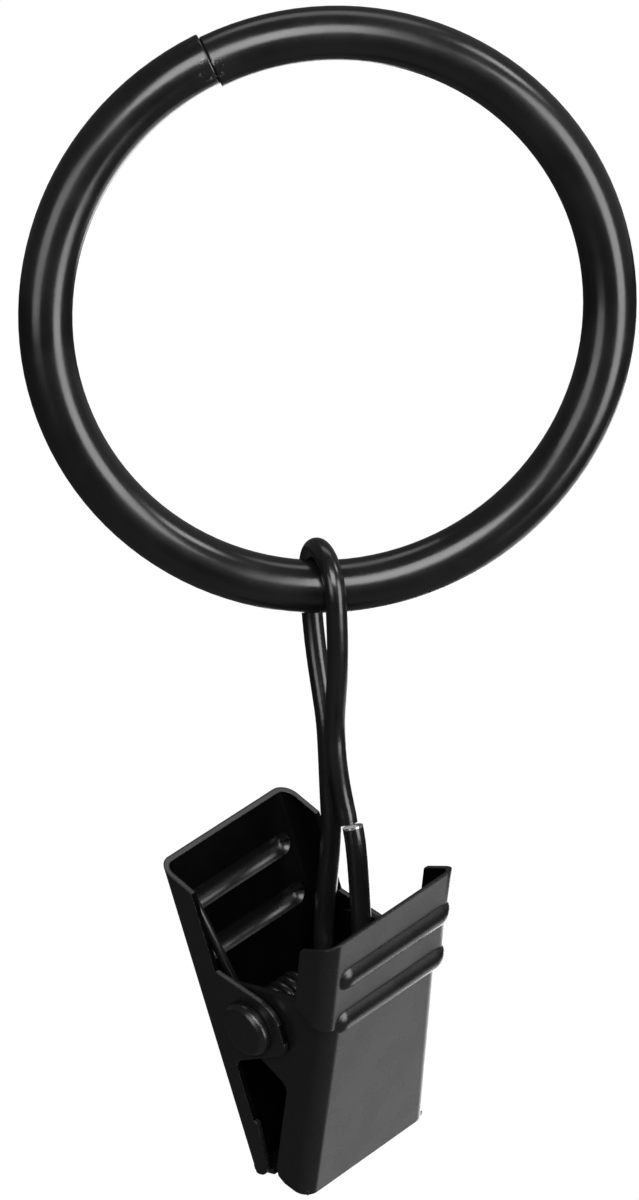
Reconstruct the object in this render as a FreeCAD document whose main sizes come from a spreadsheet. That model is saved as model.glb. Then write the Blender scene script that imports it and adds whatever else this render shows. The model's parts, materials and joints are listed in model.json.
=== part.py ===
import FreeCAD, Part
import math
import os
import Sketcher

Vector = FreeCAD.Vector
Rotation = FreeCAD.Rotation
Placement = FreeCAD.Placement

# Curtain ring with a sprung clip. Millimetres, +Z up, ring upright in the XZ plane, its centre at the origin.
DIMENSIONS = (
    ("ring_inside", 38.0),
    ("ring_bar", 4.0),
    ("seam_angle", 115.0),
    ("seam_gap", 0.02),
    ("seam_step", 0.3),
    ("seam_round", 0.14),
    ("link_bar", 1.6),
    ("link_play", 0.12),
    ("link_bow", 2.3),
    ("link_waist", 0.86),
    ("link_pinch_top", 12.4),
    ("link_pinch_end", 18.2),
    ("link_seam", 19.0),
    ("link_seam_gap", 0.05),
    ("link_seam_spread", 0.12),
    ("link_seam_step", 0.6),
    ("link_seam_lean", 0.25),
    ("link_kink", 0.22),
    ("link_slip", -1.6),
    ("link_turn_upper", 12.5),
    ("link_turn_lower", 34.0),
    ("link_pull_end", 0.25),
    ("link_pull_pinch", 2.0),
    ("link_pull_waist", 3.5),
    ("link_pull_rear", 4.0),
    ("link_pull_bow", 6.0),
    ("link_pull_arch", 7.5),
    ("clip_x", -1.3),
    ("clip_y", 0.0),
    ("clip_z", -52.57),
    ("clip_yaw", -51.24),
    ("clip_pitch", 6.83),
    ("clip_roll", 14.8),
    ("link_from_ear", 2.47),
    ("cut_reach", 20.0),
    ("cut_overlap", 2.0),
    ("sheet", 0.42),
    ("jaw_width", 13.9),
    ("jaw_tilt", 13.4),
    ("nest_gap", 0.08),
    ("bend", 1.25),
    ("back_face", 5.45),
    ("back_top", 13.2),
    ("back_bottom", 13.8),
    ("back_handle_depth", 3.25),
    ("back_jaw_depth", 2.45),
    ("back_tip_depth", 2.25),
    ("back_grip_start", 8.8),
    ("back_grip_step", 0.35),
    ("back_grip_ramp", 0.2),
    ("back_lip", 2.47),
    ("front_face", 7.2),
    ("front_top", 13.2),
    ("front_bottom", 13.4),
    ("front_handle_depth", 3.0),
    ("front_jaw_depth", 3.3),
    ("front_root_drop", 0.3),
    ("front_step_face", 4.2),
    ("front_step_edge", 5.4),
    ("front_flare", 0.38),
    ("front_lip", 3.64),
    ("handle_slope_drop", 2.1),
    ("ear_reach", 3.5),
    ("ear_top", 1.9),
    ("ear_bottom", 1.85),
    ("ear_root_top", 4.4),
    ("ear_root_bottom", 3.5),
    ("ear_round_top", 2.4),
    ("ear_round_bottom", 1.2),
    ("root_round", 0.5),
    ("tip_round", 1.0),
    ("back_bead_upper", 8.95),
    ("back_bead_lower", 4.65),
    ("front_bead_upper", 8.95),
    ("front_bead_lower", 4.4),
    ("front_bead_shift", 0.45),
    ("bead_radius", 1.5),
    ("bead_height", 0.48),
    ("bead_margin", 0.55),
    ("back_hollow_margin", 1.2),
    ("front_hollow_margin", 2.1),
    ("tooth_width", 1.35),
    ("tooth_depth", 0.6),
    ("tooth_overcut", 0.3),
    ("tooth_pitch", 1.4),
    ("tooth_count", 7),
    ("pin_diameter", 2.0),
    ("pin_fit", 0.02),
    ("pin_running", 0.06),
    ("head_diameter", 4.5),
    ("head_height", 0.9),
    ("head_edge", 0.35),
    ("spring_bar", 0.75),
    ("spring_play", 0.17),
    ("spring_pitch", 0.8),
    ("spring_turns", 5),
    ("spring_side_gap", 0.15),
    ("spring_leg", 10.0),
    ("spring_leg_rest", 0.46),
)

doc = FreeCAD.newDocument("curtain_ring_clip")
sheet = doc.addObject("Spreadsheet::Sheet", "dims")
for row, (alias, value) in enumerate(DIMENSIONS, start=1):
    sheet.set("A%d" % row, alias)
    sheet.set("B%d" % row, str(value))
    sheet.setAlias("B%d" % row, alias)
doc.recompute()


def size(alias):
    return float(sheet.get(alias))


def bind(feature, **expressions):
    for name, expression in expressions.items():
        feature.setExpression(name, expression)


def origin_part(body, role):
    return next(item for item in body.Origin.OriginFeatures if item.Role == role)


def sketch_on(body, label, role):
    sketch = body.newObject("Sketcher::SketchObject", label)
    sketch.AttachmentSupport = (origin_part(body, role), [""])
    sketch.MapMode = "FlatFace"
    return sketch


def fix_point(sketch, line, end, across, along):
    """Ties one end of a line to a place given by two expressions."""
    spot = sketch.getPoint(line, end)
    for kind, now, expression in (("DistanceX", spot.x, across), ("DistanceY", spot.y, along)):
        index = sketch.addConstraint(Sketcher.Constraint(kind, -1, 1, line, end, now))
        sketch.setExpression("Constraints[%d]" % index, expression)


def draw_polygon(sketch, corners):
    """Draws a closed outline whose corners are pairs of expressions."""
    count = len(corners)
    turn = 2.0 * math.pi / count
    guess = size("jaw_width")
    spots = [Vector(guess * math.cos(n * turn), guess * math.sin(n * turn), 0) for n in range(count)]
    for n in range(count):
        sketch.addGeometry(Part.LineSegment(spots[n], spots[(n + 1) % count]), False)
    for n in range(count):
        sketch.addConstraint(Sketcher.Constraint("Coincident", n, 2, (n + 1) % count, 1))
    for n, (across, along) in enumerate(corners):
        fix_point(sketch, n, 1, across, along)


def pad(body, label, corners, width):
    """Adds a block with a side outline, its width shared to both sides."""
    sketch = sketch_on(body, label + "_outline", "XZ_Plane")
    draw_polygon(sketch, corners)
    feature = body.newObject("PartDesign::Pad", label)
    feature.Profile = sketch
    feature.SideType = "Symmetric"
    bind(feature, Length=width)
    doc.recompute()
    return feature


def pocket(body, label, corners, width):
    """Cuts a side outline out of the middle of a block."""
    before = body.Shape.Volume
    sketch = sketch_on(body, label + "_outline", "XZ_Plane")
    draw_polygon(sketch, corners)
    feature = body.newObject("PartDesign::Pocket", label)
    feature.Profile = sketch
    feature.SideType = "Symmetric"
    bind(feature, Length=width)
    doc.recompute()
    if body.Shape.Volume >= before:
        raise RuntimeError(label + " cut nothing")
    return feature


def face_cut(body, label, corners, level, depth):
    """Cuts an outline seen face-on, inward from a level along X."""
    before = body.Shape.Volume
    sketch = sketch_on(body, label + "_outline", "YZ_Plane")
    place_sketch(sketch, "0", "0", level)
    draw_polygon(sketch, corners)
    feature = body.newObject("PartDesign::Pocket", label)
    feature.Profile = sketch
    bind(feature, Length=depth)
    doc.recompute()
    if body.Shape.Volume >= before:
        raise RuntimeError(label + " cut nothing")
    return feature


def edges_where(shape, test):
    return ["Edge%d" % n for n, edge in enumerate(shape.Edges, start=1) if test(edge)]


def across_at(x, z):
    """Test for an edge that runs across the jaw at one place of the side view."""

    def test(edge):
        ends = [vertex.Point for vertex in edge.Vertexes]
        return len(ends) == 2 and all(abs(p.x - x) < 0.01 and abs(p.z - z) < 0.01 for p in ends)

    return test


def along_at(x, half_width):
    """Test for an edge that runs along the jaw at one place of its section."""

    def test(edge):
        ends = [vertex.Point for vertex in edge.Vertexes]
        if len(ends) != 2 or abs(ends[0].y - ends[1].y) > 0.01:
            return False
        return all(abs(p.x - x) < 0.01 and abs(abs(p.y) - half_width) < 0.01 for p in ends)

    return test


def beside(x, half_width):
    """Test for an edge of the face that runs down one side of the jaw, where the jaw may widen."""

    def test(edge):
        ends = [vertex.Point for vertex in edge.Vertexes]
        if len(ends) != 2 or abs(ends[0].z - ends[1].z) < abs(ends[0].y - ends[1].y):
            return False
        return all(abs(p.x - x) < 0.01 and abs(p.y) > half_width - 0.01 for p in ends)

    return test


def fillet(body, label, test, radius, expected):
    base = body.Tip
    names = edges_where(base.Shape, test)
    if len(names) != expected:
        raise RuntimeError("%s found %d edges" % (label, len(names)))
    feature = body.newObject("PartDesign::Fillet", label)
    feature.Base = (base, names)
    bind(feature, Radius=radius)
    doc.recompute()
    return feature


def place_sketch(sketch, across, along, out):
    for axis, expression in (("x", across), ("y", along), ("z", out)):
        sketch.setExpression("AttachmentOffset.Base." + axis, expression)


def draw_capsule(sketch, half_length, radius):
    """Half of a round-ended bar, its straight side on the sketch's horizontal axis."""
    left, right = Vector(-5, 0, 0), Vector(5, 0, 0)
    left_top, right_top = Vector(-4, 1, 0), Vector(4, 1, 0)
    circle_left = Part.Circle(Vector(-4, 0, 0), Vector(0, 0, 1), 1)
    circle_right = Part.Circle(Vector(4, 0, 0), Vector(0, 0, 1), 1)
    sketch.addGeometry(Part.LineSegment(left, right), False)
    sketch.addGeometry(Part.ArcOfCircle(circle_right, 0, math.pi / 2), False)
    sketch.addGeometry(Part.LineSegment(right_top, left_top), False)
    sketch.addGeometry(Part.ArcOfCircle(circle_left, math.pi / 2, math.pi), False)
    sketch.addConstraint(Sketcher.Constraint("Coincident", 0, 2, 1, 1))
    sketch.addConstraint(Sketcher.Constraint("Coincident", 1, 2, 2, 1))
    sketch.addConstraint(Sketcher.Constraint("Coincident", 2, 2, 3, 1))
    sketch.addConstraint(Sketcher.Constraint("Coincident", 3, 2, 0, 1))
    fix_point(sketch, 0, 1, "-(%s)" % half_length, "0")
    fix_point(sketch, 0, 2, half_length, "0")
    fix_point(sketch, 2, 1, "%s - %s" % (half_length, radius), radius)
    fix_point(sketch, 2, 2, "%s - (%s)" % (radius, half_length), radius)
    sketch.addConstraint(Sketcher.Constraint("PointOnObject", 1, 3, -1))
    sketch.addConstraint(Sketcher.Constraint("PointOnObject", 3, 3, -1))


BEAD_OUT = " + dims.bead_height - dims.bead_radius"


def bead_ridge(body, label, face, height, shift):
    """Raises one transverse bead on the outside of a blank."""
    before = body.Shape.Volume
    sketch = sketch_on(body, label + "_ridge_outline", "YZ_Plane")
    place_sketch(sketch, shift, height, face + BEAD_OUT)
    draw_capsule(sketch, "dims.jaw_width / 2 - dims.bead_margin", "dims.bead_radius")
    ridge = body.newObject("PartDesign::Revolution", label + "_ridge")
    ridge.Profile = sketch
    ridge.ReferenceAxis = (sketch, ["H_Axis"])
    ridge.Angle = 180
    doc.recompute()
    if body.Shape.Volume <= before:
        raise RuntimeError(label + " raised nothing")


def bead_hollow(body, label, face, height, shift, margin):
    """Hollows a bead from the inside, so that the sheet keeps its thickness there."""
    before = body.Shape.Volume
    sketch = sketch_on(body, label + "_hollow_outline", "YZ_Plane")
    place_sketch(sketch, shift, height, face + BEAD_OUT)
    draw_capsule(sketch, "dims.jaw_width / 2 - " + margin, "(dims.bead_radius - dims.sheet)")
    hollow = body.newObject("PartDesign::Groove", label + "_hollow")
    hollow.Profile = sketch
    hollow.ReferenceAxis = (sketch, ["H_Axis"])
    hollow.Angle = 360
    doc.recompute()
    if body.Shape.Volume >= before:
        raise RuntimeError(label + " cut nothing")


def pin_hole(body, label, diameter):
    before = body.Shape.Volume
    sketch = sketch_on(body, label + "_outline", "XZ_Plane")
    sketch.addGeometry(Part.Circle(Vector(0, 0, 0), Vector(0, 0, 1), 1.0), False)
    sketch.addConstraint(Sketcher.Constraint("Coincident", 0, 3, -1, 1))
    index = sketch.addConstraint(Sketcher.Constraint("Diameter", 0, 2.0))
    sketch.setExpression("Constraints[%d]" % index, diameter)
    feature = body.newObject("PartDesign::Pocket", label)
    feature.Profile = sketch
    feature.SideType = "Symmetric"
    feature.Type = "ThroughAll"
    doc.recompute()
    if body.Shape.Volume >= before:
        raise RuntimeError(label + " cut nothing")


def teeth(body, label, lip_edge):
    """Cuts a row of notches into the gripping lip."""
    before = body.Shape.Volume
    sketch = sketch_on(body, label + "_outline", "XY_Plane")
    first = "-(dims.tooth_count - 1) * dims.tooth_pitch / 2"
    corners = (
        (lip_edge + " - dims.tooth_overcut", first + " - dims.tooth_width / 2"),
        (lip_edge + " + dims.tooth_depth", first),
        (lip_edge + " - dims.tooth_overcut", first + " + dims.tooth_width / 2"),
    )
    draw_polygon(sketch, corners)
    notch = body.newObject("PartDesign::Pocket", label + "_notch")
    notch.Profile = sketch
    notch.SideType = "Symmetric"
    notch.Type = "ThroughAll"
    doc.recompute()
    row = body.newObject("PartDesign::LinearPattern", label)
    row.Originals = [notch]
    row.Direction = (origin_part(body, "Y_Axis"), [""])
    bind(row, Length="(dims.tooth_count - 1) * dims.tooth_pitch", Occurrences="dims.tooth_count")
    body.Tip = row
    doc.recompute()
    if body.Shape.Volume >= before:
        raise RuntimeError(label + " cut nothing")


def lip(body, label, face, bottom, reach, width):
    """The bottom of the jaw, folded inward to grip."""
    edge = "%s - %s" % (face, reach)
    corners = (
        (face + " - dims.sheet / 2", "-(%s)" % bottom),
        (face + " - dims.sheet / 2", "dims.sheet - " + bottom),
        (edge, "dims.sheet - " + bottom),
        (edge, "-(%s)" % bottom),
    )
    pad(body, label, corners, width)
    teeth(body, label + "_teeth", edge)


# Rest pose: the clip hangs askew because the link has slid to the far end of the rivet.
clip_turn = Rotation(size("clip_yaw"), size("clip_pitch"), size("clip_roll"))
clip_place = Placement(Vector(size("clip_x"), size("clip_y"), size("clip_z")), clip_turn)
tilt = Rotation(Vector(0, 1, 0), size("jaw_tilt"))
half_turn = Rotation(Vector(0, 0, 1), 180)
front_place = clip_place.multiply(Placement(Vector(0, 0, 0), tilt))
back_place = clip_place.multiply(Placement(Vector(0, 0, 0), half_turn.multiply(tilt)))


def front_half(level):
    """Half the front jaw's width at a level: it nests in the back jaw's ears and widens towards its tip."""
    nested = size("jaw_width") / 2 - size("sheet") - size("nest_gap")
    root = size("ear_root_bottom")
    return nested - size("front_flare") * (level + root) / (size("front_bottom") - root)


# Ring: two arcs that share the side opposite the seam and stand slightly apart at the seam.
ring_radius = (size("ring_inside") + size("ring_bar")) / 2
seam = math.radians(size("seam_angle"))
seam_direction = Vector(math.cos(seam), 0, math.sin(seam))
joint_direction = seam_direction * -1.0
half_gap = math.degrees(size("seam_gap") / 2 / ring_radius)


def ring_arc(label, sign):
    arc = doc.addObject("Part::Torus", label)
    change = "dims.seam_step / 4 * %d" % sign
    bind(arc, Radius1="(dims.ring_inside + dims.ring_bar) / 2 + " + change, Radius2="dims.ring_bar / 2")
    arc.Angle3 = 180 - half_gap
    axis = Vector(0, sign, 0)
    turn = Rotation(joint_direction, axis.cross(joint_direction), axis, "ZXY")
    centre = joint_direction * (-sign * size("seam_step") / 4)
    arc.Placement = Placement(centre, turn)
    return arc


ring_bar_solid = doc.addObject("Part::Fuse", "ring_bar_solid")
ring_bar_solid.Base = ring_arc("ring_arc_right", -1)
ring_bar_solid.Tool = ring_arc("ring_arc_left", 1)
doc.recompute()


def at_seam(edge):
    middle = edge.BoundBox.Center
    return edge.Length < 1.1 * math.pi * size("ring_bar") and (middle - seam_direction * ring_radius).Length < 1.0


ring = doc.addObject("Part::Fillet", "ring")
ring.Base = ring_bar_solid
seam_radius = size("seam_round")
seam_edges = [n for n, edge in enumerate(ring_bar_solid.Shape.Edges, start=1) if at_seam(edge)]
ring.Edges = [(n, seam_radius, seam_radius) for n in seam_edges]
doc.recompute()

# Link: a wire bent round the ring, pinched together, and bent round the rivet.
link_radius = size("link_bar") / 2
slip = math.radians(size("link_slip"))
link_top = Vector(math.sin(slip), 0, -math.cos(slip)) * ring_radius
pin_axis = clip_turn.multVec(Vector(0, 1, 0))
far_ear = front_half(0) - size("sheet")
link_end = clip_place.multVec(Vector(0, far_ear - size("link_from_ear"), 0))
up = (link_top - link_end).normalize()
side = (Vector(1, 0, 0) - up * up.x).normalize()
rear = up.cross(side)
link_length = (link_top - link_end).Length
pin_lean = math.asin(pin_axis.dot(up))
bow = size("link_bow")
seat = (link_radius + size("pin_diameter") / 2 + size("link_play")) / math.cos(pin_lean)
bow_level = -link_length + bow - seat
arch = size("ring_bar") / 2 + size("link_play") + link_radius


def lateral(turn):
    angle = math.radians(turn)
    return side * math.sin(angle) - rear * math.cos(angle)


upper_turn = lateral(size("link_turn_upper"))
lower_turn = lateral(size("link_turn_lower"))


def on_link(across, level):
    return link_top + across + up * level


def strand(start, start_pull, end, end_pull):
    curve = Part.BezierCurve()
    curve.setPoles([start, start + start_pull, end - end_pull, end])
    return curve.toShape()


def arc_through(start, middle, end):
    return Part.Arc(start, middle, end).toShape()


waist = size("link_waist")
pinch_top = -size("link_pinch_top")
pinch_end = -size("link_pinch_end")
seam_level = -size("link_seam")
seam_half_gap = size("link_seam_gap") / 2
spread_at_seam = waist + size("link_seam_spread")
spread_below_seam = spread_at_seam + size("link_seam_step")
down = up * -1.0
arch_front = on_link(upper_turn * arch, 0)
arch_back = on_link(upper_turn * -arch, 0)
arch_top = on_link(Vector(0, 0, 0), arch)
waist_front = on_link(upper_turn * waist, pinch_top)
waist_back = on_link(upper_turn * -waist, pinch_top)
kink = side * size("link_kink")
pinch_front = on_link(lower_turn * waist + kink, pinch_end)
pinch_back = on_link(lower_turn * -waist + kink, pinch_end)
upper_end = on_link(lower_turn * spread_at_seam + kink, seam_level + seam_half_gap)
lower_end = on_link(lower_turn * spread_below_seam + kink, seam_level - seam_half_gap)
bow_front = on_link(lower_turn * bow, bow_level)
bow_back = on_link(lower_turn * -bow, bow_level)
bow_bottom = on_link(Vector(0, 0, 0), bow_level - bow)
open_front = (down + lower_turn * size("link_seam_lean")).normalize()
end_pull = open_front * size("link_pull_end")
pinch_pull = size("link_pull_pinch")
waist_pull = size("link_pull_waist")
rear_pull = up * size("link_pull_rear")
bow_pull = down * size("link_pull_bow")
arch_pull = size("link_pull_arch")
link_path = doc.addObject("Part::Feature", "link_path")
link_path.Shape = Part.Wire(
    [
        strand(lower_end, open_front * pinch_pull, bow_front, bow_pull),
        arc_through(bow_front, bow_bottom, bow_back),
        strand(bow_back, rear_pull, pinch_back, rear_pull),
        strand(pinch_back, up * pinch_pull, waist_back, up * pinch_pull),
        strand(waist_back, up * waist_pull, arch_back, up * arch_pull),
        arc_through(arch_back, arch_top, arch_front),
        strand(arch_front, down * arch_pull, waist_front, down * waist_pull),
        strand(waist_front, down * pinch_pull, pinch_front, open_front * pinch_pull),
        strand(pinch_front, end_pull, upper_end, end_pull),
    ]
)
link_section = doc.addObject("Part::Circle", "link_section")
bind(link_section, Radius="dims.link_bar / 2")
link_section.Placement = Placement(lower_end, Rotation(Vector(0, 0, 1), open_front))
wire_link = doc.addObject("Part::Sweep", "wire_link")
wire_link.Sections = [link_section]
wire_link.Spine = (link_path, ["Edge%d" % (n + 1) for n in range(len(link_path.Shape.Edges))])
wire_link.Solid = True
wire_link.Frenet = False
doc.recompute()

# Back jaw, in its own frame: X points out of its face, Z runs up it, the rivet lies on Y.
INNER_WIDTH = "dims.jaw_width - 2 * dims.sheet"
back_jaw = doc.addObject("PartDesign::Body", "back_jaw")
back_handle = "dims.back_face - dims.back_handle_depth"
back_flange = "dims.back_face - dims.back_jaw_depth"
pad(
    back_jaw,
    "back_blank",
    (
        ("dims.back_face", "-dims.back_bottom"),
        ("dims.back_face", "dims.back_top"),
        (back_handle, "dims.back_top - dims.handle_slope_drop"),
        (back_handle, "dims.ear_root_top"),
        ("-dims.ear_reach", "dims.ear_top"),
        ("-dims.ear_reach", "-dims.ear_bottom"),
        (back_flange, "-dims.ear_root_bottom"),
        (back_flange, "-dims.back_grip_start"),
        (back_flange + " - dims.back_grip_step", "-dims.back_grip_start - dims.back_grip_ramp"),
        ("dims.back_face - dims.back_tip_depth", "-dims.back_bottom"),
    ),
    "dims.jaw_width",
)
face = size("back_face")
nose = -size("ear_reach")
fillet(back_jaw, "back_ear_top", across_at(nose, size("ear_top")), "dims.ear_round_top", 1)
fillet(back_jaw, "back_ear_bottom", across_at(nose, -size("ear_bottom")), "dims.ear_round_bottom", 1)
root = across_at(face - size("back_jaw_depth"), -size("ear_root_bottom"))
fillet(back_jaw, "back_root", root, "dims.root_round", 1)
tip = across_at(face - size("back_tip_depth"), -size("back_bottom"))
fillet(back_jaw, "back_tip", tip, "dims.tip_round", 1)
fillet(back_jaw, "back_bends", along_at(face, size("jaw_width") / 2), "dims.bend", 2)
BACK_BEADS = (("back_upper", "dims.back_bead_upper"), ("back_lower", "dims.back_bead_lower"))
for bead_name, bead_at in BACK_BEADS:
    bead_ridge(back_jaw, bead_name, "dims.back_face", bead_at, "0")
pocket(
    back_jaw,
    "back_inside",
    (
        ("dims.back_face - dims.sheet", "-dims.cut_reach"),
        ("dims.back_face - dims.sheet", "dims.cut_reach"),
        ("-dims.cut_reach", "dims.cut_reach"),
        ("-dims.cut_reach", "-dims.cut_reach"),
    ),
    INNER_WIDTH,
)
inner_edge = along_at(face - size("sheet"), size("jaw_width") / 2 - size("sheet"))
fillet(back_jaw, "back_inner_bends", inner_edge, "dims.bend - dims.sheet", 2)
for bead_name, bead_at in BACK_BEADS:
    bead_hollow(back_jaw, bead_name, "dims.back_face", bead_at, "0", "dims.back_hollow_margin")
pin_hole(back_jaw, "back_hole", "dims.pin_diameter + 2 * dims.pin_fit")
lip(back_jaw, "back_lip", "dims.back_face", "dims.back_bottom", "dims.back_lip", INNER_WIDTH)
back_jaw.Placement = back_place

# Front jaw: the same fold, stepped in below its handle so that its ears pass inside the back jaw's.
NARROW_HALF = "(dims.jaw_width / 2 - dims.sheet - dims.nest_gap)"
FLARE_SLOPE = "dims.front_flare / (dims.front_bottom - dims.ear_root_bottom)"
ABOVE_STEP = "(dims.front_step_edge + dims.cut_overlap)"
BELOW_TIP = "(-dims.front_bottom - dims.cut_overlap)"
HALF_ABOVE = "(%s - (%s + dims.ear_root_bottom) * %s)" % (NARROW_HALF, ABOVE_STEP, FLARE_SLOPE)
HALF_BELOW = "(%s - (%s + dims.ear_root_bottom) * %s)" % (NARROW_HALF, BELOW_TIP, FLARE_SLOPE)
TIP_HALF = "(%s + dims.front_flare)" % NARROW_HALF
TIP_CORNER = "dims.tip_round * (1 - sqrt(0.5))"
front_jaw = doc.addObject("PartDesign::Body", "front_jaw")
front_handle = "dims.front_face - dims.front_handle_depth"
front_flange = "dims.front_face - dims.front_jaw_depth"
pad(
    front_jaw,
    "front_blank",
    (
        ("dims.front_face", "-dims.front_bottom"),
        ("dims.front_face", "dims.front_step_face + dims.sheet"),
        (front_handle, "dims.front_step_edge + dims.sheet"),
        (front_handle, "dims.front_step_edge"),
        ("-dims.ear_reach", "dims.ear_top"),
        ("-dims.ear_reach", "-dims.ear_bottom"),
        (front_flange, "-dims.ear_root_bottom - dims.front_root_drop"),
        (front_flange, "dims.tip_round - dims.front_bottom"),
        (front_flange + " + " + TIP_CORNER, TIP_CORNER + " - dims.front_bottom"),
        (front_flange + " + dims.tip_round", "-dims.front_bottom"),
    ),
    "2 * (%s + dims.cut_overlap)" % TIP_HALF,
)
face = size("front_face")
fillet(front_jaw, "front_ear_top", across_at(nose, size("ear_top")), "dims.ear_round_top", 1)
fillet(front_jaw, "front_ear_bottom", across_at(nose, -size("ear_bottom")), "dims.ear_round_bottom", 1)
root = across_at(face - size("front_jaw_depth"), -size("ear_root_bottom") - size("front_root_drop"))
fillet(front_jaw, "front_root", root, "dims.root_round * 2", 1)
for side_name, sign in (("near", "-"), ("far", "")):
    outside = "%s(%s + 2 * dims.cut_overlap)" % (sign, TIP_HALF)
    face_cut(
        front_jaw,
        "front_side_" + side_name,
        (
            (sign + HALF_ABOVE, ABOVE_STEP),
            (sign + HALF_BELOW, BELOW_TIP),
            (outside, BELOW_TIP),
            (outside, ABOVE_STEP),
        ),
        "dims.cut_reach",
        "2 * dims.cut_reach",
    )
top_half = front_half(size("front_step_edge") + size("sheet"))
fillet(front_jaw, "front_low_bends", beside(face, top_half), "dims.bend", 2)
pad(
    front_jaw,
    "front_handle_blank",
    (
        ("dims.front_face", "dims.front_step_face"),
        ("dims.front_face", "dims.front_top"),
        (front_handle, "dims.front_top - dims.handle_slope_drop"),
        (front_handle, "dims.front_step_edge"),
    ),
    "dims.jaw_width",
)
fillet(front_jaw, "front_high_bends", along_at(face, size("jaw_width") / 2), "dims.bend", 2)
FRONT_BEADS = (("front_upper", "dims.front_bead_upper"), ("front_lower", "dims.front_bead_lower"))
for bead_name, bead_at in FRONT_BEADS:
    bead_ridge(front_jaw, bead_name, "dims.front_face", bead_at, "dims.front_bead_shift")
face_cut(
    front_jaw,
    "front_inside",
    (
        (HALF_ABOVE + " - dims.sheet", ABOVE_STEP),
        ("dims.sheet - " + HALF_ABOVE, ABOVE_STEP),
        ("dims.sheet - " + HALF_BELOW, BELOW_TIP),
        (HALF_BELOW + " - dims.sheet", BELOW_TIP),
    ),
    "dims.front_face - dims.sheet",
    "dims.cut_reach",
)
inner_half = front_half(size("front_step_edge") + size("cut_overlap")) - size("sheet")
inner_edge = beside(face - size("sheet"), inner_half)
fillet(front_jaw, "front_inner_low_bends", inner_edge, "dims.bend - dims.sheet", 2)
STEP_SLOPE = "(dims.front_step_edge - dims.front_step_face) / dims.front_handle_depth"
pocket(
    front_jaw,
    "front_handle_inside",
    (
        ("dims.front_face - dims.sheet", "dims.front_step_face + dims.sheet + dims.sheet * " + STEP_SLOPE),
        ("dims.front_face - dims.sheet", "dims.cut_reach"),
        ("-dims.cut_reach", "dims.cut_reach"),
        ("-dims.cut_reach", "dims.front_step_face + dims.sheet + (dims.front_face + dims.cut_reach) * " + STEP_SLOPE),
    ),
    INNER_WIDTH,
)
inner_edge = along_at(face - size("sheet"), size("jaw_width") / 2 - size("sheet"))
fillet(front_jaw, "front_inner_high_bends", inner_edge, "dims.bend - dims.sheet", 2)
for bead_name, bead_at in FRONT_BEADS:
    bead_hollow(
        front_jaw, bead_name, "dims.front_face", bead_at, "dims.front_bead_shift", "dims.front_hollow_margin"
    )
pin_hole(front_jaw, "front_hole", "dims.pin_diameter + 2 * dims.pin_running")
TIP_INNER = "2 * (%s - dims.sheet)" % TIP_HALF
lip(front_jaw, "front_lip", "dims.front_face", "dims.front_bottom", "dims.front_lip", TIP_INNER)
front_jaw.Placement = front_place

# Rivet: a shank with a bevelled head at each end, turned about Y.
rivet_pin = doc.addObject("PartDesign::Body", "rivet_pin")
rivet_outline = sketch_on(rivet_pin, "rivet_outline", "XY_Plane")
draw_polygon(
    rivet_outline,
    (
        ("0", "-(dims.jaw_width / 2 + dims.head_height)"),
        ("dims.head_diameter / 2 - dims.head_edge", "-(dims.jaw_width / 2 + dims.head_height)"),
        ("dims.head_diameter / 2", "dims.head_edge - dims.jaw_width / 2 - dims.head_height"),
        ("dims.head_diameter / 2", "-dims.jaw_width / 2"),
        ("dims.pin_diameter / 2", "-dims.jaw_width / 2"),
        ("dims.pin_diameter / 2", "dims.jaw_width / 2"),
        ("dims.head_diameter / 2", "dims.jaw_width / 2"),
        ("dims.head_diameter / 2", "dims.jaw_width / 2 + dims.head_height - dims.head_edge"),
        ("dims.head_diameter / 2 - dims.head_edge", "dims.jaw_width / 2 + dims.head_height"),
        ("0", "dims.jaw_width / 2 + dims.head_height"),
    ),
)
rivet_turned = rivet_pin.newObject("PartDesign::Revolution", "rivet_turned")
rivet_turned.Profile = rivet_outline
rivet_turned.ReferenceAxis = (rivet_outline, ["V_Axis"])
rivet_turned.Angle = 360
doc.recompute()
rivet_pin.Placement = clip_place

# Spring: a close coil on the rivet beside the near ears, with a leg up each handle.
spring_radius = (size("pin_diameter") + size("spring_bar")) / 2 + size("spring_play")
spring_half = size("spring_bar") / 2
near_ear = front_half(spring_radius + spring_half) - size("sheet")
coil_start = near_ear - size("spring_side_gap") - spring_half


def leg_tip(face_alias, sign):
    """Where a leg meets the inside of a handle, in the clip's side view."""
    angle = math.radians(size("jaw_tilt"))
    inner = size(face_alias) - size("sheet") - size("spring_leg_rest")
    reach = size("spring_leg")
    across = inner * math.cos(angle) + reach * math.sin(angle)
    return sign * across, reach * math.cos(angle) - inner * math.sin(angle)


def tangent_angle(point, sign):
    """Angle of the coil where a straight leg from the point touches it on its own side."""
    distance = math.hypot(point[0], point[1])
    return math.atan2(point[1], point[0]) - sign * math.acos(spring_radius / distance)


def in_clip(point, along):
    return clip_place.multVec(Vector(point[0], along, point[1]))


def on_coil(angle):
    return spring_radius * math.cos(angle), spring_radius * math.sin(angle)


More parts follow.
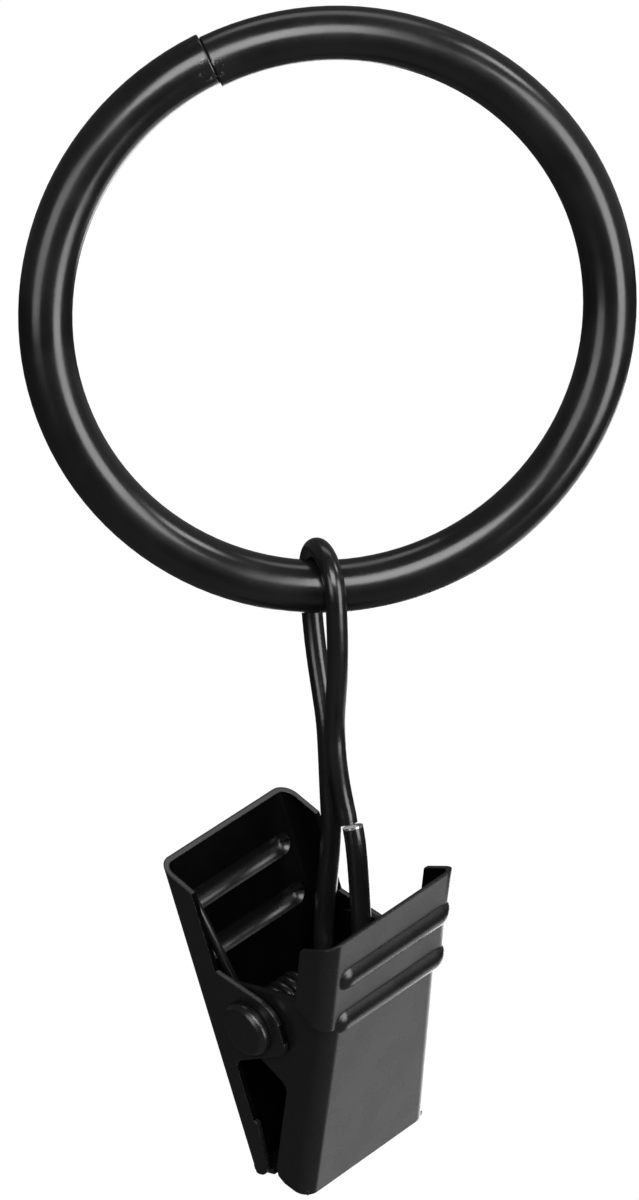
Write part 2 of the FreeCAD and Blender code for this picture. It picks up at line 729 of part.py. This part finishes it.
back_tip = leg_tip("back_face", -1)
front_tip = leg_tip("front_face", 1)
start_angle = tangent_angle(back_tip, -1)
end_angle = tangent_angle(front_tip, 1)
wrap = (end_angle - start_angle) % (2 * math.pi) + 2 * math.pi * size("spring_turns")
coil_length = size("spring_pitch") * wrap / (2 * math.pi)
coil_end = coil_length - coil_start
coil_edges = Part.makeLongHelix(size("spring_pitch"), coil_length, spring_radius, 0.0, True).Edges
coil_x = Vector(math.cos(start_angle), 0, math.sin(start_angle))
coil_y = Vector(0, 1, 0).cross(coil_x)
coil_place = Placement(Vector(0, -coil_start, 0), Rotation(coil_x, coil_y, Vector(0, 1, 0), "ZXY"))
coil = Part.Wire(coil_edges)
coil.Placement = clip_place.multiply(coil_place)
leg_back = Part.LineSegment(in_clip(back_tip, -coil_start), in_clip(on_coil(start_angle), -coil_start))
leg_front = Part.LineSegment(in_clip(on_coil(end_angle), coil_end), in_clip(front_tip, coil_end))
spring_path = doc.addObject("Part::Feature", "spring_path")
spring_path.Shape = Part.Wire([leg_back.toShape()] + coil.Edges + [leg_front.toShape()])
spring_section = doc.addObject("Part::Circle", "spring_section")
bind(spring_section, Radius="dims.spring_bar / 2")
leg_direction = in_clip(on_coil(start_angle), 0) - in_clip(back_tip, 0)
spring_section.Placement = Placement(in_clip(back_tip, -coil_start), Rotation(Vector(0, 0, 1), leg_direction))
torsion_spring = doc.addObject("Part::Sweep", "torsion_spring")
torsion_spring.Sections = [spring_section]
torsion_spring.Spine = (spring_path, ["Edge%d" % (n + 1) for n in range(len(spring_path.Shape.Edges))])
torsion_spring.Solid = True
torsion_spring.Frenet = False
torsion_spring.Transition = "Transformed"
doc.recompute()

for item in doc.Objects:
    if "Invalid" in item.State or "Error" in item.State:
        raise RuntimeError("%s did not build: %s" % (item.Label, item.State))
os.makedirs("parts", exist_ok=True)
for part in (ring, wire_link, back_jaw, front_jaw, rivet_pin, torsion_spring):
    if part.Shape.isNull() or not part.Shape.isValid():
        raise RuntimeError(part.Label + " has no valid shape")
    part.Shape.exportStep("parts/%s.step" % part.Label)
    print(part.Label, len(part.Shape.Solids), round(part.Shape.Volume, 2), part.Shape.BoundBox)
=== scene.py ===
import json
import math

import bmesh
import bpy
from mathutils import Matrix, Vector


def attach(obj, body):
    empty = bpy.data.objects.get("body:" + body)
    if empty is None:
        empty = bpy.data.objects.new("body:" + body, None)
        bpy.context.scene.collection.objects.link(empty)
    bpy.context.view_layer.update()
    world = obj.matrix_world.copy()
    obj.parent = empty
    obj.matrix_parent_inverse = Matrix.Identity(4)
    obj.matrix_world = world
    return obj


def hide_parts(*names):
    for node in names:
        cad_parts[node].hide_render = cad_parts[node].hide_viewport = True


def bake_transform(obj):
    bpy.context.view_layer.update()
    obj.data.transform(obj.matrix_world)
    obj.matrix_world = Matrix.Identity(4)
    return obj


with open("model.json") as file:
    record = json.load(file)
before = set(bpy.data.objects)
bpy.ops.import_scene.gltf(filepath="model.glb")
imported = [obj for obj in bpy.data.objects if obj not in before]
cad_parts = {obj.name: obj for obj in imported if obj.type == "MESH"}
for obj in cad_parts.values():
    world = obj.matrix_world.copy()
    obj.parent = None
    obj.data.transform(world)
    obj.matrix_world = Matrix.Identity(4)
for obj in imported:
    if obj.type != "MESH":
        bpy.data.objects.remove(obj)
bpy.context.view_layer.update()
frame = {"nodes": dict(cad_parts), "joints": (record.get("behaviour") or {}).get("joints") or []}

scene = bpy.context.scene
MM = 0.001


def compass(azimuth, elevation):
    """Direction in the row frame: azimuth 0 is towards -Y, where the camera stands, and 90 is +X."""
    a, e = math.radians(azimuth), math.radians(elevation)
    return Vector((math.sin(a) * math.cos(e), -math.cos(a) * math.cos(e), math.sin(e)))


# Camera: the photograph's frame and the place of the ring's centre in it.
FRAME_SIZE = Vector((639, 1200))
RING_CENTRE_PIXEL = Vector((330.4, 312.7))
VIEW_AZIMUTH = -7.29
VIEW_ELEVATION = 15.82
VIEW_DISTANCE = 400 * MM
FRAME_HEIGHT = 88.67 * MM
SENSOR = 36.0


def add_camera():
    """Looks at the spot that the middle of the photograph shows at the ring's distance."""
    back = compass(VIEW_AZIMUTH, VIEW_ELEVATION)
    right = Vector((0, 0, 1)).cross(back).normalized()
    up = back.cross(right)
    pixel = FRAME_HEIGHT / FRAME_SIZE.y
    offset = RING_CENTRE_PIXEL - FRAME_SIZE / 2
    target = up * offset.y * pixel - right * offset.x * pixel
    camera = bpy.data.objects.new("camera", bpy.data.cameras.new("camera"))
    camera.data.sensor_width = SENSOR
    camera.data.lens = SENSOR * VIEW_DISTANCE / FRAME_HEIGHT
    camera.data.clip_start = 10 * MM
    camera.location = target + back * VIEW_DISTANCE
    camera.rotation_euler = back.to_track_quat("Z", "Y").to_euler()
    scene.collection.objects.link(camera)
    scene.camera = camera


# Studio: soft panels by azimuth, elevation, width and height as seen from the object, in degrees.
PANEL_DISTANCE = 0.9
PANELS = (
    ("right_panel", 44, -2, 30, 50, 6.5),
    ("high_right_panel", 74, 42, 14, 16, 8.0),
    ("front_panel", -8, 30, 40, 30, 8.5),
    ("left_panel", -46, 3, 30, 32, 3.5),
    ("rear_panel", 165, 74, 50, 20, 2.0),
    ("low_right_panel", 121, -42, 24, 26, 1.05),
    ("low_rear_panel", 156, -31, 34, 22, 3.2),
)
ROOM_DIM = 0.1
ROOM_BRIGHT = 0.25
FLOOR_LEVEL = -0.8
FLOOR_SIZE = 12.0
FLOOR_COLOUR = 0.14
FLOOR_GLOW = 0.98


def add_panel(name, azimuth, elevation, wide, high, radiance):
    """A soft panel that faces the object, given the brightness of its surface."""
    lamp = bpy.data.lights.new(name, "AREA")
    lamp.shape = "RECTANGLE"
    lamp.size = 2 * PANEL_DISTANCE * math.tan(math.radians(wide) / 2)
    lamp.size_y = 2 * PANEL_DISTANCE * math.tan(math.radians(high) / 2)
    lamp.energy = radiance * math.pi * lamp.size * lamp.size_y
    towards = compass(azimuth, elevation)
    panel = bpy.data.objects.new(name, lamp)
    panel.location = towards * PANEL_DISTANCE
    panel.rotation_euler = towards.to_track_quat("Z", "Y").to_euler()
    panel.visible_camera = False
    scene.collection.objects.link(panel)


class Nodes:
    """Short calls for building one node tree."""

    def __init__(self, tree):
        self.tree = tree

    def add(self, kind, settings=None, **inputs):
        node = self.tree.nodes.new("ShaderNode" + kind)
        for name, value in (settings or {}).items():
            setattr(node, name, value)
        for name, value in inputs.items():
            self.put(node, name.replace("_", " "), value)
        return node

    def put(self, node, name, value):
        socket = node.inputs[name]
        if isinstance(value, bpy.types.NodeSocket):
            self.tree.links.new(value, socket)
        else:
            socket.default_value = value

    def math(self, operation, first, second=0.0, clamp=False):
        node = self.add("Math", {"operation": operation, "use_clamp": clamp})
        self.put(node, 0, first)
        self.put(node, 1, second)
        return node.outputs[0]

    def ramp(self, value, low, high, start=0.0, end=1.0):
        """A smooth step from one setting to another as a value rises."""
        node = self.add("MapRange", {"interpolation_type": "SMOOTHSTEP"}, Value=value)
        self.put(node, "From Min", low)
        self.put(node, "From Max", high)
        self.put(node, "To Min", start)
        self.put(node, "To Max", end)
        return node.outputs["Result"]

    def noise(self, place, grain, detail=2.0, rough=0.5):
        """Cloudy noise whose patches are about one grain across."""
        node = self.add("TexNoise", Vector=place, Scale=1 / grain, Detail=detail, Roughness=rough)
        return node.outputs["Fac"]

    def wear(self, shader, mask, colour):
        """Lays another colour over a paint where a mask is set."""
        node = self.add("Mix", {"data_type": "RGBA"})
        self.put(node, 0, mask)
        self.put(node, 6, shader.inputs["Base Color"].links[0].from_socket)
        self.put(node, 7, colour)
        self.put(shader, "Base Color", node.outputs[2])

    def blend(self, factor, first, second):
        """A colour between two greys."""
        node = self.add("Mix", {"data_type": "RGBA"})
        self.put(node, 0, factor)
        self.put(node, 6, (first, first, first, 1))
        self.put(node, 7, (second, second, second, 1))
        return node.outputs[2]


def add_world():
    """White to the camera; a dim room otherwise, lighter towards the right."""
    world = bpy.data.worlds.new("studio")
    scene.world = world
    world.use_nodes = True
    nodes = Nodes(world.node_tree)
    background = world.node_tree.nodes["Background"]
    background.inputs["Color"].default_value = (1, 1, 1, 1)
    seen = nodes.add("LightPath").outputs["Is Camera Ray"]
    direction = nodes.add("SeparateXYZ", Vector=nodes.add("TexCoord").outputs["Generated"])
    room = nodes.ramp(direction.outputs["X"], -0.2, 0.9, ROOM_DIM, ROOM_BRIGHT)
    nodes.put(background, "Strength", nodes.ramp(seen, 0, 1, room, 1.0))


def add_floor():
    """A pale floor well below the hanging clip: it glows white, and shadows still fall on it."""
    mesh = bpy.data.meshes.new("floor")
    edge = FLOOR_SIZE / 2
    corners = [(x, y, FLOOR_LEVEL) for x, y in ((-edge, -edge), (edge, -edge), (edge, edge), (-edge, edge))]
    mesh.from_pydata(corners, [], [(0, 1, 2, 3)])
    floor = bpy.data.objects.new("floor", mesh)
    scene.collection.objects.link(floor)
    material = bpy.data.materials.new("floor")
    material.use_nodes = True
    nodes = Nodes(material.node_tree)
    material.node_tree.nodes.remove(material.node_tree.nodes["Principled BSDF"])
    seen = nodes.add("LightPath").outputs["Is Camera Ray"]
    glow = nodes.add("Emission", Strength=nodes.math("MULTIPLY", seen, FLOOR_GLOW))
    matt = nodes.add("BsdfDiffuse", Color=(FLOOR_COLOUR, FLOOR_COLOUR, FLOOR_COLOUR, 1))
    both = nodes.add("AddShader")
    nodes.put(both, 0, glow.outputs[0])
    nodes.put(both, 1, matt.outputs[0])
    nodes.put(material.node_tree.nodes["Material Output"], "Surface", both.outputs[0])
    mesh.materials.append(material)


def start_paint(name):
    material = bpy.data.materials.new(name)
    material.use_nodes = True
    nodes = Nodes(material.node_tree)
    shader = material.node_tree.nodes["Principled BSDF"]
    place = nodes.add("TexCoord").outputs["Object"]
    return material, nodes, shader, place


def gloss_paint(name):
    """Black enamel: faint orange peel and uneven gloss."""
    material, nodes, shader, place = start_paint(name)
    cloud = nodes.noise(place, 4.0 * MM, 3.0)
    nodes.put(shader, "Base Color", nodes.blend(cloud, 0.003, 0.007))
    nodes.put(shader, "Roughness", nodes.ramp(cloud, 0.3, 0.7, 0.2, 0.27))
    peel = nodes.noise(place, 0.7 * MM, 2.0)
    bump = nodes.add("Bump", Strength=0.08, Distance=0.05 * MM, Height=peel)
    nodes.put(shader, "Normal", bump.outputs["Normal"])
    return material


# Ring: the paint is scuffed on both sides of the seam where the bar's ends meet.
SEAM = Vector((-8.875, 0.0, 19.03)) * MM
SCUFF_REACH = 1.4 * MM
SCUFF_GREY = (0.11, 0.11, 0.11, 1)


def scuffed_ring_paint():
    """The enamel, with short pale scratches beside the seam."""
    material = gloss_paint("ring_black")
    nodes = Nodes(material.node_tree)
    shader = material.node_tree.nodes["Principled BSDF"]
    place = nodes.add("TexCoord").outputs["Object"]
    flat = nodes.add("VectorMath", {"operation": "MULTIPLY"})
    nodes.put(flat, 0, place)
    nodes.put(flat, 1, (1.0, 0.0, 1.0))
    away = nodes.add("VectorMath", {"operation": "DISTANCE"})
    nodes.put(away, 0, flat.outputs["Vector"])
    nodes.put(away, 1, SEAM)
    near = nodes.ramp(away.outputs["Value"], SCUFF_REACH * 0.4, SCUFF_REACH, 1.0, 0.0)
    scratch = nodes.ramp(nodes.noise(place, 0.5 * MM, 3.0, 0.7), 0.56, 0.66)
    scuff = nodes.math("MULTIPLY", near, scratch)
    nodes.wear(shader, scuff, SCUFF_GREY)
    return material


# Link: the wire was cut after painting, so its lower end shows bare steel, on the face and on the worn rim.
CUT_END = Vector((1.708, -0.082, -39.955)) * MM
CUT_FACING = Vector((-0.196, 0.139, 0.971))
CUT_RIM = 0.16 * MM
BARE_STEEL = (0.6, 0.59, 0.57, 1)


def cut_wire_paint():
    """The enamel, with bare steel on the cut end."""
    material = gloss_paint("cut_wire_black")
    nodes = Nodes(material.node_tree)
    shader = material.node_tree.nodes["Principled BSDF"]
    coordinates = nodes.add("TexCoord").outputs
    away = nodes.add("VectorMath", {"operation": "DISTANCE"})
    nodes.put(away, 0, coordinates["Object"])
    nodes.put(away, 1, CUT_END)
    past = nodes.add("VectorMath", {"operation": "DOT_PRODUCT"})
    nodes.put(past, 0, coordinates["Object"])
    nodes.put(past, 1, CUT_FACING)
    level = nodes.math("SUBTRACT", past.outputs["Value"], CUT_END.dot(CUT_FACING))
    near = nodes.ramp(away.outputs["Value"], 0.95 * MM, 1.05 * MM, 1.0, 0.0)
    above = nodes.ramp(level, -CUT_RIM, -CUT_RIM / 2)
    below = nodes.ramp(level, 0.02 * MM, 0.03 * MM, 1.0, 0.0)
    bare = nodes.math("MULTIPLY", near, nodes.math("MULTIPLY", above, below))
    nodes.put(shader, "Metallic", bare)
    nodes.wear(shader, bare, BARE_STEEL)
    return material


SOFT_EDGE = 0.2 * MM
EDGE_ROUND = 0.09 * MM


def satin_paint():
    """Black powder coat on pressed sheet: a fine even grain."""
    material, nodes, shader, place = start_paint("satin_black")
    cloud = nodes.noise(place, 3.0 * MM, 3.0)
    grain = nodes.noise(place, 0.14 * MM, 2.0, 0.7)
    nodes.put(shader, "Base Color", nodes.blend(grain, 0.002, 0.008))
    nodes.put(shader, "Roughness", nodes.ramp(cloud, 0.3, 0.7, 0.24, 0.3))
    soft_edges = nodes.add("Bevel", {"samples": 4}, Radius=SOFT_EDGE)
    bump = nodes.add("Bump", Strength=0.15, Distance=0.02 * MM, Height=grain)
    nodes.put(bump, "Normal", soft_edges.outputs["Normal"])
    nodes.put(shader, "Normal", bump.outputs["Normal"])
    return material


# Insides of the jaws: painted shade, a darker and duller black where the jaws shade each other. These point
# inward from each face.
BACK_INWARD = Vector((0.575, -0.811, 0.107))
FRONT_INWARD = Vector((-0.634, 0.695, 0.338))
FLAT_MATCH = math.cos(math.radians(4))
FLANGE_MATCH = math.cos(math.radians(12))
BEND_MATCH = math.sin(math.radians(4))
hinge = next(joint for joint in frame["joints"] if joint["name"] == "jaw_open")
PIN = Vector(hinge["pos_m"])
PIN_ALONG = -Vector(hinge["axis"]).normalized()


def inside_shade_paint():
    """Painted shade: a darker, duller black for the insides, with a faint cloudiness."""
    material, nodes, shader, place = start_paint("inside_painted_shade")
    cloud = nodes.noise(place, 2.0 * MM, 3.0)
    # painted shade: a near-black colour and a low specular level darken the insides
    nodes.put(shader, "Base Color", nodes.blend(cloud, 0.0005, 0.002))
    nodes.put(shader, "Roughness", nodes.ramp(cloud, 0.3, 0.7, 0.35, 0.45))
    nodes.put(shader, "Specular IOR Level", 0.02)
    bump = nodes.add("Bump", Strength=0.1, Distance=0.03 * MM, Height=cloud)
    nodes.put(shader, "Normal", bump.outputs["Normal"])
    return material


def paint_shade_on_insides(piece, material, inward):
    """Gives the inner face, the inner sides of the flanges and the bends between them the painted-shade
    black.
    """
    mesh = piece.data
    mesh.materials.append(material)
    up = inward.cross(PIN_ALONG)
    for polygon in mesh.polygons:
        normal = polygon.normal
        side = math.copysign(1, (polygon.center - PIN).dot(PIN_ALONG))
        across = -side * normal.dot(PIN_ALONG)
        in_bend = across > 0 and normal.dot(inward) > 0 and abs(normal.dot(up)) < BEND_MATCH
        if in_bend or across > FLANGE_MATCH or normal.dot(inward) > FLAT_MATCH:
            polygon.material_index = 1


def dress(node, body, name, material, rounding):
    """A copy of a solid with its sharp edges rounded, which stands for it."""
    mesh = frame["nodes"][node].data.copy()
    mesh.name = name
    shape = bmesh.new()
    shape.from_mesh(mesh)
    bmesh.ops.remove_doubles(shape, verts=shape.verts, dist=0.001 * MM)
    flat = math.radians(0.5)
    bmesh.ops.dissolve_limit(shape, angle_limit=flat, verts=shape.verts, edges=shape.edges)
    sharp = [edge for edge in shape.edges if edge.is_manifold and edge.calc_face_angle() > math.radians(32)]
    bmesh.ops.bevel(
        shape, geom=sharp, offset=rounding, segments=2, profile=0.5, affect="EDGES", clamp_overlap=True
    )
    shape.to_mesh(mesh)
    shape.free()
    mesh.materials.clear()
    mesh.materials.append(material)
    mesh.shade_smooth()
    piece = bpy.data.objects.new(name, mesh)
    scene.collection.objects.link(piece)
    weighted = piece.modifiers.new("even_faces", "WEIGHTED_NORMAL")
    weighted.keep_sharp = True
    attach(piece, body)
    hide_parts(node)
    return piece


def keep(node, material):
    """A solid that shows as it is, with a better finish."""
    mesh = frame["nodes"][node].data
    mesh.materials.clear()
    mesh.materials.append(material)


def add_spring(material):
    mesh = frame["nodes"]["torsion_spring"].data.copy()
    mesh.name = "spring_coil"
    mesh.materials.clear()
    mesh.materials.append(material)
    spring = bpy.data.objects.new("spring_coil", mesh)
    scene.collection.objects.link(spring)
    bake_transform(spring)
    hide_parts("torsion_spring")


add_camera()
for panel_facts in PANELS:
    add_panel(*panel_facts)
add_world()
add_floor()

gloss = gloss_paint("gloss_black")
satin = satin_paint()
keep("ring", scuffed_ring_paint())
keep("wire_link", cut_wire_paint())
# painted shade on the jaws' insides, where the jaws shade each other
shade_material = inside_shade_paint()
back_sheet = dress("back_jaw", "clip", "back_jaw_sheet", satin, EDGE_ROUND)
paint_shade_on_insides(back_sheet, shade_material, BACK_INWARD)
front_sheet = dress("front_jaw", "front", "front_jaw_sheet", satin, EDGE_ROUND)
paint_shade_on_insides(front_sheet, shade_material, FRONT_INWARD)
dress("rivet_pin", "clip", "rivet", satin, EDGE_ROUND)
add_spring(gloss)

scene.view_settings.view_transform = "Standard"
